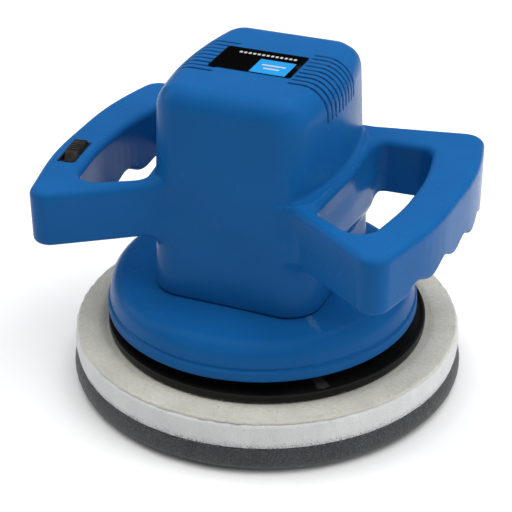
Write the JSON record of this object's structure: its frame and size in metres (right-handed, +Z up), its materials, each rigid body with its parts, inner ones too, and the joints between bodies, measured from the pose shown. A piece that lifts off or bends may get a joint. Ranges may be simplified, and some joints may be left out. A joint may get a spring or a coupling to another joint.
{
  "type": "rotary polisher",
  "caption": "Two-handed orbital car polisher: a boxy blue motor housing with D-shaped finger-grip handles over a round skirt, a black backing plate and a layered foam pad.",
  "frame": {"origin": "on the motor axis, in the plane of the pad's working face; the pad's own axis is 3 mm towards +X", "axes": "+Z up along the motor axis, +X towards the handle without the switch, -Y the front, +Y the user's side"},
  "size_m": [0.2498, 0.24, 0.2034],
  "materials": {
    "blue_plastic": "gloss moulded plastic",
    "black_plastic": "black moulded plastic",
    "black_gloss": "black semi-gloss plate",
    "label_film": "printed film label",
    "steel": "zinc-plated steel",
    "dark_steel": "dark steel",
    "aluminium": "die-cast",
    "copper": "enamelled copper wire",
    "brass": "pressed brass",
    "ferrite": "ferrite magnet",
    "carbon": "graphite brush",
    "rubber": "black rubber",
    "board": "circuit board laminate",
    "wire": "insulated wire",
    "capacitor": "film capacitor",
    "hook_nylon": "hook-and-loop hooks",
    "fleece": "loop fleece",
    "white_foam": "open-cell foam",
    "dark_foam": "open-cell foam"
  },
  "bodies": {
    "housing": {"upper_housing": "blue_plastic", "base_housing": "blue_plastic", "grip_cover_left": "blue_plastic", "grip_cover_right": "blue_plastic", "label_plate": "label_film", "cord_inlet_gland": "rubber", "motor_mount_plate": "steel", "motor_can": "dark_steel", "motor_end_cap": "black_plastic", "magnet_left": "ferrite", "magnet_right": "ferrite", "upper_bearing_outer": "steel", "lower_bearing_outer": "steel", "bearing_clip": "dark_steel", "brush_holder_left": "brass", "brush_holder_right": "brass", "carbon_brush_left": "carbon", "carbon_brush_right": "carbon", "brush_spring_left": "steel", "brush_spring_right": "steel", "rectifier_board": "board", "bridge_rectifier": "black_plastic", "suppression_capacitor": "capacitor", "motor_bolt_front": "steel", "motor_bolt_rear": "steel", "housing_screw_1": "steel", "housing_screw_2": "steel", "housing_screw_3": "steel", "housing_screw_4": "steel", "mount_screw_1": "steel", "mount_screw_2": "steel", "mount_screw_3": "steel", "mount_screw_4": "steel", "cover_screw_left": "steel", "cover_screw_right": "steel", "switch_lead": "wire", "motor_lead": "wire", "switch_bezel": "black_plastic", "switch_body": "black_plastic"},
    "rotor": {"motor_shaft": "steel", "armature_core": "dark_steel", "armature_winding": "copper", "commutator": "copper", "cooling_fan": "black_plastic", "eccentric_hub": "dark_steel", "lower_bearing_inner": "steel", "upper_bearing_inner": "steel", "pad_bearing_inner": "steel", "centre_screw": "steel"},
    "pad": {"pad_bearing_outer": "steel", "pad_hub": "aluminium", "backing_plate": "black_gloss", "hook_disc": "hook_nylon", "pad_fleece": "fleece", "pad_foam_white": "white_foam", "pad_foam_dark": "dark_foam", "hub_screw_1": "steel", "hub_screw_2": "steel", "hub_screw_3": "steel"},
    "slider": {"switch_slider": "black_plastic"}
  },
  "joints": [
    {"name": "shaft_spin", "type": "hinge", "parent": "housing", "child": "rotor", "pos_m": [0, 0, 0.08], "axis": [0, 0, 1], "continuous": true},
    {"name": "pad_spin", "type": "hinge", "parent": "rotor", "child": "pad", "pos_m": [0.003, 0, 0.04], "axis": [0, 0, 1], "continuous": true},
    {"name": "switch_slide", "type": "slide", "parent": "housing", "child": "slider", "axis": [0.1395, -0.9902, 0], "range_m": [0, 0.006]}
  ]
}
